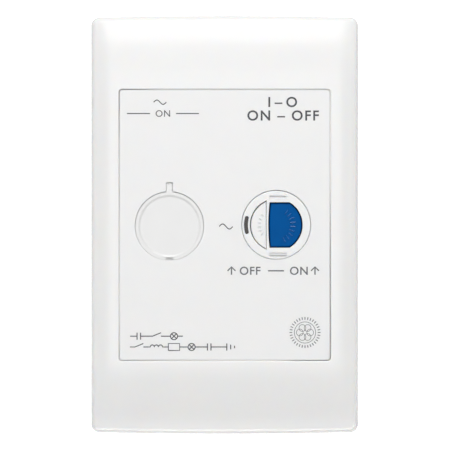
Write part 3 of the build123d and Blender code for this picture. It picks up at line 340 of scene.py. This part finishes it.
def fine_relief(tree, shader, value, strength):
    """Fine bumps on the shader's normal."""
    bump = tree.nodes.new("ShaderNodeBump")
    bump.inputs["Distance"].default_value = GRAIN_DEPTH
    bump.inputs["Strength"].default_value = strength
    tree.links.new(value, bump.inputs["Height"])
    tree.links.new(bump.outputs["Normal"], shader.inputs["Normal"])


def plastic(name, colour, gloss, grain, relief, cloud, shine=0.5, scatter=0.0):
    """Moulded plastic: clouding, uneven gloss, the mould's grain (in mm) and light that scatters inside."""
    material, tree, shader, coordinates = new_material(name)
    clouded_colour(tree, shader, noise(tree, coordinates, CLOUD_SIZE), colour, cloud)
    uneven_gloss(tree, shader, noise(tree, coordinates, GLOSS_PATCH), gloss, PLASTIC_SPREAD)
    fine_relief(tree, shader, noise(tree, coordinates, grain * MM, GRAIN_DETAIL), relief)
    shader.inputs["IOR"].default_value = PLASTIC_IOR
    shader.inputs["Specular IOR Level"].default_value = shine
    shader.inputs["Subsurface Weight"].default_value = scatter
    shader.inputs["Subsurface Radius"].default_value = SCATTER_COLOURS
    shader.inputs["Subsurface Scale"].default_value = SCATTER_DEPTH
    return material


def metal(name, colour, gloss, grain, brushing):
    """Metal with drawn lines (their width in mm) along one direction and slight tarnish."""
    material, tree, shader, coordinates = new_material(name)
    clouded_colour(tree, shader, noise(tree, coordinates, TARNISH_SIZE), colour, TARNISH)
    lines = noise(tree, coordinates, grain * MM, LINE_DETAIL, brushing)
    uneven_gloss(tree, shader, lines, gloss, METAL_SPREAD)
    fine_relief(tree, shader, lines, LINE_RELIEF)
    shader.inputs["Metallic"].default_value = 1.0
    return material


def see_through(name, colour, gloss, relief, transmission):
    """Frosted plastic or clear glass."""
    material, tree, shader, coordinates = new_material(name)
    clouded_colour(tree, shader, noise(tree, coordinates, CLOUD_SIZE), colour, FROST)
    uneven_gloss(tree, shader, noise(tree, coordinates, FROST_SIZE), gloss, PLASTIC_SPREAD)
    fine_relief(tree, shader, noise(tree, coordinates, FROST_GRAIN), relief)
    shader.inputs["IOR"].default_value = PLASTIC_IOR
    shader.inputs["Transmission Weight"].default_value = transmission
    return material


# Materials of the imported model, by the names of its slots
PLASTICS = {
    "surround_plastic": dict(
        colour=(0.87, 0.87, 0.865), gloss=0.12, grain=1.5, relief=0.01, cloud=0.004, scatter=0.5
    ),
    "panel_plastic": dict(
        colour=(0.882, 0.882, 0.879), gloss=0.34, grain=0.5, relief=0.08, cloud=0.005, scatter=0.3
    ),
    "nose_plastic": dict(
        colour=(0.88, 0.88, 0.873), gloss=0.25, grain=0.8, relief=0.04, cloud=0.005, scatter=0.5
    ),
    "blue_plastic": dict(
        colour=(0.0, 0.088, 0.32), gloss=0.4, grain=0.5, relief=0.1, cloud=0.06, shine=0.04
    ),
    "smoke_plastic": dict(colour=(0.03, 0.022, 0.021), gloss=0.25, grain=0.6, relief=0.05, cloud=0.1),
    "housing_plastic": dict(colour=(0.62, 0.62, 0.6), gloss=0.5, grain=0.4, relief=0.25, cloud=0.03),
    "inner_plastic": dict(colour=(0.035, 0.035, 0.037), gloss=0.45, grain=0.4, relief=0.2, cloud=0.1),
    "board_laminate": dict(colour=(0.02, 0.14, 0.05), gloss=0.3, grain=0.3, relief=0.3, cloud=0.15),
    "component_body": dict(colour=(0.03, 0.03, 0.03), gloss=0.4, grain=0.3, relief=0.2, cloud=0.1),
    "resistor_body": dict(colour=(0.5, 0.36, 0.2), gloss=0.35, grain=0.3, relief=0.15, cloud=0.08),
    "core_ferrite": dict(colour=(0.03, 0.03, 0.033), gloss=0.6, grain=0.3, relief=0.4, cloud=0.15),
    "line_insulation": dict(colour=(0.4, 0.02, 0.015), gloss=0.35, grain=0.4, relief=0.1, cloud=0.05),
    "neutral_insulation": dict(colour=(0.02, 0.02, 0.02), gloss=0.35, grain=0.4, relief=0.1, cloud=0.05),
}
METALS = {
    "steel": dict(colour=(0.62, 0.62, 0.63), gloss=0.28, grain=0.6, brushing=BRUSHED),
    "brass": dict(colour=(0.72, 0.53, 0.25), gloss=0.25, grain=0.6, brushing=BRUSHED),
    "copper_wire": dict(colour=(0.72, 0.35, 0.2), gloss=0.3, grain=0.3, brushing=WOUND),
}
CLEAR_MATERIALS = {
    "lens_plastic": dict(colour=(0.885, 0.885, 0.88), gloss=0.34, relief=0.04, transmission=0.05),
    "clear_glass": dict(colour=(0.95, 0.95, 0.93), gloss=0.05, relief=0.02, transmission=0.95),
}
materials = {}
for kind, looks in ((plastic, PLASTICS), (metal, METALS), (see_through, CLEAR_MATERIALS)):
    for name, look in looks.items():
        materials[name] = kind(name, **look)

for subpart in frame["record"]["subparts"]:
    carried = nodes[subpart["node"]]
    carried.data.materials.clear()
    carried.data.materials.append(materials[subpart["material_slot"]])

# Materials of the pieces that are made here
ink = plastic("printed_ink", linear(INK_SHADE), gloss=0.5, grain=0.3, relief=0.1, cloud=0.06)
pale_ink = plastic("pale_ink", linear(PALE_INK_SHADE), gloss=0.5, grain=0.3, relief=0.1, cloud=0.06)
# The ribs' blue is a little lighter than the button's own blue, which is a painted highlight on the ribs. Their
# lower roughness and higher shine are real polish.
polished_blue_painted_highlight = plastic("polished_blue_painted_highlight", (0.0, 0.1, 0.36), gloss=0.18, grain=0.5, relief=0.05, cloud=0.06)
# The ledge's colour is a darker, warmer copy of the surround's white: painted shade in the gap round the panel.
ledge_painted_shade = plastic(
    "ledge_painted_shade", (0.87, 0.845, 0.815), gloss=0.3, grain=0.8, relief=0.04, cloud=0.02
)


# Meshes of strokes and letters, laid on a front surface
def flat_mesh(data):
    """Mesh of a curve or a text, taken through a short-lived object."""
    holder = new_object(data.name + "_holder", data)
    bpy.context.view_layer.update()
    evaluated = holder.evaluated_get(bpy.context.evaluated_depsgraph_get())
    mesh = bpy.data.meshes.new_from_object(evaluated)
    bpy.data.objects.remove(holder)
    return mesh


def stroke_mesh(strokes, width, front=panel_front, height=INK_HEIGHT):
    """Round-ended strokes, each a list of (x, z) points, flattened to a low crown on a front."""
    curve = bpy.data.curves.new("strokes", "CURVE")
    curve.dimensions = "3D"
    curve.bevel_depth = width / 2
    curve.bevel_resolution = STROKE_SIDES
    curve.use_fill_caps = True
    for points in strokes:
        spline = curve.splines.new("POLY")
        spline.points.add(len(points) - 1)
        for point, (x, z) in zip(spline.points, points):
            point.co = (x, 0.0, z, 1.0)
    mesh = flat_mesh(curve)
    for vertex in mesh.vertices:
        vertex.co.y = front + min(vertex.co.y, 0.0) / (width / 2) * height
    for polygon in mesh.polygons:
        polygon.use_smooth = True
    return mesh


def letter_mesh(signs, place, height, weight=0.0, spacing=1.0):
    """Row of plain letters of a height, centred on a place of the photograph, on the panel's front."""
    text = bpy.data.curves.new("letters", "FONT")
    text.body = signs
    text.size = height / CAPITAL_SHARE
    text.offset = weight
    text.extrude = INK_HEIGHT / 2
    text.space_character = spacing
    text.align_x = "CENTER"
    mesh = flat_mesh(text)
    middle_x = across(place[0])
    middle_z = upward(place[1])
    for vertex in mesh.vertices:
        along, rise, out = vertex.co
        vertex.co = (middle_x + along, panel_front - INK_HEIGHT / 2 - out, middle_z + rise - height / 2)
    return mesh


def add_piece(name, meshes, material, body="root"):
    """One piece made of several meshes, riding on a body."""
    joined = bmesh.new()
    for mesh in meshes:
        joined.from_mesh(mesh)
    bmesh.ops.recalc_face_normals(joined, faces=joined.faces)
    whole = bpy.data.meshes.new(name)
    joined.to_mesh(whole)
    joined.free()
    whole.materials.append(material)
    piece = new_object(name, whole)
    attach(piece, body)


# Strokes, as lists of (x, z) points
def polar(x, z, reach, turn):
    """Point at a distance from a middle, in a direction."""
    return (x + reach * math.cos(turn), z + reach * math.sin(turn))


def arc(x, z, radius, start, end, steps=ARC_STEPS):
    """Points along an arc, in degrees."""
    turns = [math.radians(start + (end - start) * step / steps) for step in range(steps + 1)]
    return [polar(x, z, radius, turn) for turn in turns]


def level(start, end, z):
    """Level stroke between two places along X."""
    return [(start, z), (end, z)]


def upright(x, low, high):
    """Upright stroke between two heights."""
    return [(x, low), (x, high)]


def rule(start, end, row):
    """Level stroke between two columns of the photograph."""
    return level(across(start), across(end), upward(row))


def wave(place, size):
    """One period of a sine wave, the sign for alternating current, at a place of the photograph."""
    length, height = size
    points = []
    for step in range(ARC_STEPS + 1):
        share = step / ARC_STEPS
        along = (share - 0.5) * length
        rise = height / 2 * math.sin(2 * math.pi * share)
        points.append((across(place[0]) + along, upward(place[1]) + rise))
    return points


def arrow(column, row, height):
    """Arrow that points up, centred on a place of the photograph."""
    x = across(column)
    half = height / 2
    low = upward(row) - half
    tip = (x, low + height)
    return [
        [(x, low), tip],
        [(x - half, low + half), tip, (x + half, low + half)],
    ]


# Signs for alternating current over the lamp label and between the lens and the nose
waves = [wave(LAMP_WAVE, LAMP_WAVE_SIZE), wave(MIDDLE_WAVE, MIDDLE_WAVE_SIZE)]
add_piece("alternating_current_signs", [stroke_mesh(waves, THIN_STROKE)], ink)

# Label over the lens: ON between two rules
lamp_rules = [
    rule(LAMP_LABEL_START, LAMP_LABEL[0] - LAMP_LABEL_HALF, LAMP_LABEL[1]),
    rule(LAMP_LABEL[0] + LAMP_LABEL_HALF, LAMP_LABEL_END, LAMP_LABEL[1]),
]
lamp_letters = letter_mesh("ON", LAMP_LABEL, SMALL_CAPITAL, spacing=WIDE_SPACING)
add_piece("lamp_label", [lamp_letters, stroke_mesh(lamp_rules, THIN_STROKE)], ink)

# Label at the top right: the signs and words of a switch's two states
switch_letters = [
    letter_mesh(f"I {DASH} O", SWITCH_SIGNS, LARGE_CAPITAL, LARGE_WEIGHT),
    letter_mesh(f"ON {DASH} OFF", SWITCH_WORDS, LARGE_CAPITAL, LARGE_WEIGHT, WIDEST_SPACING),
]
add_piece("switch_label", switch_letters, ink)

# Label under the nose: the test button at the left switches off, the blue one at the right switches on
nose_letters = [
    letter_mesh("OFF", NOSE_OFF, MIDDLE_CAPITAL, MIDDLE_WEIGHT, WIDE_SPACING),
    letter_mesh("ON", NOSE_ON, MIDDLE_CAPITAL, MIDDLE_WEIGHT, WIDE_SPACING),
]
nose_strokes = []
for column in NOSE_ARROWS:
    nose_strokes += arrow(column, NOSE_OFF[1], MIDDLE_CAPITAL)
nose_strokes.append(rule(NOSE_RULE[0], NOSE_RULE[1], NOSE_OFF[1]))
add_piece("nose_label", nose_letters + [stroke_mesh(nose_strokes, NOSE_STROKE)], pale_ink)


# Circuit symbols at the bottom left, one after another along two lines
def stations(left, shares):
    """Places at shares of a symbol's width."""
    return [left + SYMBOL_WIDTH * share for share in shares]


def cells_symbol(left, middle):
    """Two plates with a lead at each end."""
    inner, outer = stations(left, CELL_PLATES)
    low = middle - SYMBOL_HEIGHT / 2
    high = middle + SYMBOL_HEIGHT / 2
    return [
        level(left, inner, middle),
        upright(inner, low, high),
        upright(outer, low, high),
        level(outer, left + SYMBOL_WIDTH, middle),
    ]


def contact_symbol(left, middle):
    """Open contact with a lead at each end."""
    hinge, rest = stations(left, CONTACT_ENDS)
    return [
        [(left, middle), (hinge, middle), (rest, middle + SYMBOL_HEIGHT / 2)],
        level(rest, left + SYMBOL_WIDTH, middle),
    ]


def lamp_symbol(left, middle):
    """Crossed circle with a lead at each end."""
    centre = left + SYMBOL_WIDTH / 2
    radius = SYMBOL_HEIGHT / 2
    reach = radius * math.sqrt(0.5)
    return [
        level(left, centre - radius, middle),
        arc(centre, middle, radius, 0, 360, LAMP_STEPS),
        [(centre - reach, middle - reach), (centre + reach, middle + reach)],
        [(centre - reach, middle + reach), (centre + reach, middle - reach)],
        level(centre + radius, left + SYMBOL_WIDTH, middle),
    ]


def coil_symbol(left, middle):
    """Row of bows with a lead at each end."""
    inner, outer = stations(left, COIL_ENDS)
    radius = (outer - inner) / (2 * COIL_BOWS)
    bows = []
    for bow in range(COIL_BOWS):
        bows += arc(inner + radius * (2 * bow + 1), middle, radius, 180, 0, COIL_BOW_STEPS)
    return [[(left, middle), *bows, (left + SYMBOL_WIDTH, middle)]]


def resistor_symbol(left, middle):
    """Box with a lead at each end."""
    inner, outer = stations(left, RESISTOR_ENDS)
    low = middle - SYMBOL_HEIGHT / 2
    high = middle + SYMBOL_HEIGHT / 2
    return [
        level(left, inner, middle),
        [(inner, low), (outer, low), (outer, high), (inner, high), (inner, low)],
        level(outer, left + SYMBOL_WIDTH, middle),
    ]


def earth_symbol(left, middle):
    """Lead that ends in shrinking bars."""
    strokes = [level(left, left + SYMBOL_WIDTH * EARTH_START, middle)]
    for bar in range(EARTH_BARS):
        x = left + SYMBOL_WIDTH * (EARTH_START + EARTH_STEP * bar)
        half = SYMBOL_HEIGHT / 2 * (1 - EARTH_SHRINK * bar)
        strokes.append(upright(x, middle - half, middle + half))
    return strokes


UPPER_SYMBOLS = (cells_symbol, contact_symbol, lamp_symbol)
LOWER_SYMBOLS = (contact_symbol, coil_symbol, resistor_symbol, lamp_symbol, cells_symbol, earth_symbol)
symbols = []
for row, chain in zip(SYMBOL_ROWS, (UPPER_SYMBOLS, LOWER_SYMBOLS)):
    for step, symbol in enumerate(chain):
        symbols += symbol(across(SYMBOL_START) + step * SYMBOL_WIDTH, upward(row))
add_piece("circuit_symbols", [stroke_mesh(symbols, SYMBOL_STROKE)], ink)


# Round mark at the bottom right: a ring of ticks, a ring and petals
def full_turn(count):
    """Directions spread evenly over a full turn."""
    return [2 * math.pi * step / count for step in range(count)]


mark_x = across(ROUND_MARK[0])
mark_z = upward(ROUND_MARK[1])
ticks = []
for turn in full_turn(MARK_TICKS):
    ticks.append([polar(mark_x, mark_z, reach, turn) for reach in (MARK_TICK_START, MARK_TICK_END)])
rings = [arc(mark_x, mark_z, MARK_RING, 0, 360, MARK_RING_STEPS)]
for turn in full_turn(MARK_PETALS):
    petal_x, petal_z = polar(mark_x, mark_z, MARK_PETAL_PLACE, turn)
    rings.append(arc(petal_x, petal_z, MARK_PETAL_RADIUS, 0, 360, MARK_PETAL_STEPS))
mark_meshes = [stroke_mesh(ticks, MARK_TICK_STROKE), stroke_mesh(rings, MARK_RING_STROKE)]
add_piece("round_mark", mark_meshes, pale_ink)


# Raised ribs on the two buttons
def ribs(radius, length, ends, count):
    """Short radial strokes along an arc about the middle of the nose."""
    start, end = ends
    reaches = [radius + share * length for share in RIB_STATIONS]
    strokes = []
    for rib in range(count):
        turn = math.radians(start + (end - start) * rib / (count - 1))
        strokes.append([polar(NOSE_X, 0.0, reach, turn) for reach in reaches])
    return strokes


reset_ribs = ribs(RESET_RIB_RADIUS, RESET_RIB_LENGTH, RESET_RIB_ARC, RESET_RIB_COUNT)
reset_rib_mesh = stroke_mesh(reset_ribs, RESET_RIB_WIDTH, reset_front, RESET_RIB_HEIGHT)
add_piece("reset_ribs", [reset_rib_mesh], polished_blue_painted_highlight, "reset")
test_ribs = ribs(TEST_RIB_RADIUS, TEST_RIB_LENGTH, TEST_RIB_ARC, TEST_RIB_COUNT)
test_rib_mesh = stroke_mesh(test_ribs, TEST_RIB_WIDTH, test_front, TEST_RIB_HEIGHT)
add_piece("test_ribs", [test_rib_mesh], materials["nose_plastic"], "test")


# Springs: each one is stood in for by a copy of its coils, which rides on the spring's body
def body_holding(node):
    """Body that a node rides on."""
    for body, members in frame["record"]["behaviour"]["bodies"].items():
        if node in members:
            return body
    return "root"


def add_spring(node):
    """Copy of a spring's coils that stands for the node and rides on the node's body."""
    coils = new_object(node + "_coils", nodes[node].data.copy())
    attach(coils, body_holding(node))
    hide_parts(node)
    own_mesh(coils)


for joint in frame["joints"]:
    for deforming in joint.get("deforming_nodes", []):
        add_spring(deforming["node"])


# Mouldings: closed bands that run round the panel and round the lens
def band_mesh(name, loops):
    """Closed band whose section has one corner in each of the loops."""
    around = len(loops[0])
    faces = []
    for ring in range(len(loops)):
        here = ring * around
        there = (ring + 1) % len(loops) * around
        for corner in range(around):
            after = (corner + 1) % around
            faces.append((here + corner, here + after, there + after, there + corner))
    mesh = bpy.data.meshes.new(name)
    mesh.from_pydata([point for loop in loops for point in loop], [], faces)
    return mesh


def panel_loop(outset, depth):
    """Panel's outline, moved outwards, at a depth behind the ledge's front."""
    middle_x = PANEL_HALF_WIDTH - PANEL_CORNER
    middle_z = PANEL_HALF_HEIGHT - PANEL_CORNER
    radius = PANEL_CORNER + outset
    loop = []
    sides = zip(PANEL_CORNERS, LEDGE_KNEES, LEDGE_DEPTHS)
    for quarter, ((side_x, side_z), knee, drops) in enumerate(sides):
        corner_y, first_y, second_y = [panel_front + drop * MM + depth for drop in drops]
        start = 90 * quarter
        bend = arc(side_x * middle_x, side_z * middle_z, radius, start, start + 90, LEDGE_CORNER_STEPS)
        loop += [(x, corner_y, z) for x, z in bend]
        for share, y in ((knee, first_y), (-knee, second_y)):
            if side_x == side_z:
                loop.append((side_x * share * middle_x, y, side_z * (PANEL_HALF_HEIGHT + outset)))
            else:
                loop.append((side_x * (PANEL_HALF_WIDTH + outset), y, side_z * share * middle_z))
    return loop


def lens_loop(radius, depth):
    """Circle about the lens's middle, at a depth behind the lens's front."""
    y = lens_front + depth
    return [(x, y, z) for x, z in arc(*LENS_MIDDLE, radius, 0, 360, SLOPE_STEPS)[:-1]]


# Ledge of the surround's opening, which makes the gap round the panel a groove
ledge_loops = [
    panel_loop(LEDGE_PLAY, 0.0),
    panel_loop(PANEL_GAP, 0.0),
    panel_loop(PANEL_GAP, LEDGE_THICKNESS),
    panel_loop(LEDGE_PLAY, LEDGE_THICKNESS),
]
add_piece("opening_ledge", [band_mesh("opening_ledge", ledge_loops)], ledge_painted_shade, "surround")

# Sloping foot of the lens's rim, where it meets the dished middle
slope_loops = [
    lens_loop(SLOPE_OUTER, SLOPE_TOP),
    lens_loop(SLOPE_OUTER, SLOPE_DEPTH),
    lens_loop(SLOPE_INNER, SLOPE_DEPTH),
]
add_piece("lens_slope", [band_mesh("lens_slope", slope_loops)], materials["lens_plastic"])

# Camera: straight at the plate from far away, as flat as the photograph
camera_data = bpy.data.cameras.new("camera")
camera_data.sensor_width = SENSOR
camera_data.lens = SENSOR * CAMERA_DISTANCE / (PHOTO_SIZE * PIXEL)
camera_data.clip_start, camera_data.clip_end = CAMERA_CLIP
camera = new_object("camera", camera_data)
camera.location = (across(PHOTO_SIZE / 2), cad_low.y - CAMERA_DISTANCE, upward(PHOTO_SIZE / 2))
camera.rotation_euler = (math.pi / 2, 0, 0)
bpy.context.scene.camera = camera

# Pale floor, below the plate
floor_height = cad_low.z - FLOOR_DROP
floor_corners = [(x, y, floor_height) for x, y in FLOOR_SQUARE]
floor_mesh = bpy.data.meshes.new("floor")
floor_mesh.from_pydata(floor_corners, [], [(0, 1, 2, 3)])
pale_floor = plastic("pale_floor", (0.66, 0.66, 0.66), gloss=0.7, grain=2.0, relief=0.05, cloud=0.01)
floor_mesh.materials.append(pale_floor)
floor = new_object("floor", floor_mesh)


# Surroundings: dim in front of the plate, brightest at its sides, and white where the camera looks past it
def shade_by_depth(sky):
    """Shade that depends on how far a direction points backwards."""
    direction = sky.nodes.new("ShaderNodeTexCoord")
    split = sky.nodes.new("ShaderNodeSeparateXYZ")
    sky.links.new(direction.outputs["Generated"], split.inputs["Vector"])
    depth_share = sky.nodes.new("ShaderNodeMapRange")
    depth_share.inputs["From Min"].default_value = -1.0
    depth_share.inputs["From Max"].default_value = 1.0
    sky.links.new(split.outputs["Y"], depth_share.inputs["Value"])
    ramp = sky.nodes.new("ShaderNodeValToRGB")
    stops = ramp.color_ramp.elements
    stops.remove(stops[1])
    for order, (depth, shade) in enumerate(SKY_SHADES):
        stop = stops[0] if order == 0 else stops.new(depth)
        stop.position = depth
        stop.color = [shade / SKY_STRENGTH] * 3 + [1.0]
    sky.links.new(depth_share.outputs["Result"], ramp.inputs["Fac"])
    return ramp.outputs["Color"]


def white_if_seen(sky, shade):
    """White where the camera sees the surroundings, and a shade where they only light the plate."""
    seen = sky.nodes.new("ShaderNodeLightPath")
    choose = sky.nodes.new("ShaderNodeMix")
    choose.data_type = "RGBA"
    sky.links.new(seen.outputs["Is Camera Ray"], choose.inputs["Factor"])
    sky.links.new(shade, choose.inputs[MIX_OTHERWISE])
    choose.inputs[MIX_SEEN].default_value = WHITE
    return choose.outputs[MIX_RESULT]


world = bpy.data.worlds.new("studio")
bpy.context.scene.world = world
world.use_nodes = True
background = world.node_tree.nodes["Background"]
sky_colour = white_if_seen(world.node_tree, shade_by_depth(world.node_tree))
world.node_tree.links.new(sky_colour, background.inputs["Color"])
background.inputs["Strength"].default_value = SKY_STRENGTH


# Lights: rectangles of an even radiance, which the camera doesn't see
def add_card(name, size, place, target, radiance, diffuse=True, glossy=True):
    """Rectangular light at a place, facing a target."""
    light = bpy.data.lights.new(name, "AREA")
    light.shape = "RECTANGLE"
    light.size, light.size_y = size
    light.energy = radiance * math.pi * size[0] * size[1]
    card = new_object(name, light)
    card.location = place
    card.rotation_euler = (Vector(target) - Vector(place)).to_track_quat("-Z", "Y").to_euler()
    card.visible_camera = False
    card.visible_diffuse = diffuse
    card.visible_glossy = glossy


def add_mirrored_card(name, width, low, high, distance, radiance):
    """Upright card between two heights, at a distance before the wall, that shows in reflections alone."""
    middle = (low + high) / 2
    place = (0.0, -distance, middle)
    add_card(name, (width, high - low), place, (0.0, 0.0, middle), radiance, diffuse=False)


def add_softbox():
    """Tilted box over the plate, whose lower edge is where the crown at the top begins to mirror it."""
    rise = math.cos(SOFTBOX_TILT)
    fall = math.sin(SOFTBOX_TILT)
    y = SOFTBOX_EDGE_Y + fall * SOFTBOX_SIZE[1] / 2
    z = SOFTBOX_EDGE_Z + rise * SOFTBOX_SIZE[1] / 2
    target = (0.0, y + rise, z - fall)
    add_card("softbox", SOFTBOX_SIZE, (0.0, y, z), target, SOFTBOX_RADIANCE, diffuse=False)


def add_low_cards():
    """Cards below the plate, ever taller and brighter downwards, that its glossy lower edge mirrors."""
    distance = LOW_CARD_DISTANCE - cad_low.y
    high = cad_low.z - LOW_CARD_TOP
    for step in range(LOW_CARD_COUNT):
        low = high - LOW_CARD_HEIGHT * LOW_CARD_STRETCH**step
        radiance = LOW_CARD_RADIANCE * LOW_CARD_GAIN**step
        add_mirrored_card(f"low_card_{step}", LOW_CARD_WIDTH, low, high, distance, radiance)
        high = low


add_softbox()

# The front cards are what the flat parts mirror, and the fill is the soft light from above
for name, (low, high), radiance in FRONT_CARDS:
    add_mirrored_card(name, FRONT_CARD_WIDTH, low, high, FRONT_CARD_DISTANCE, radiance)
add_card("fill", FILL_SIZE, FILL_PLACE, (0.0, 0.0, 0.0), FILL_RADIANCE, glossy=False)

# Light from below: a bounce behind the plate's front, and the low cards
bounce_place = (0.0, BOUNCE_DEPTH, floor_height + BOUNCE_LIFT)
bounce_target = (0.0, BOUNCE_DEPTH, 0.0)
add_card("bounce", BOUNCE_SIZE, bounce_place, bounce_target, BOUNCE_RADIANCE, glossy=False)
add_low_cards()

bpy.context.scene.view_settings.view_transform = "Standard"
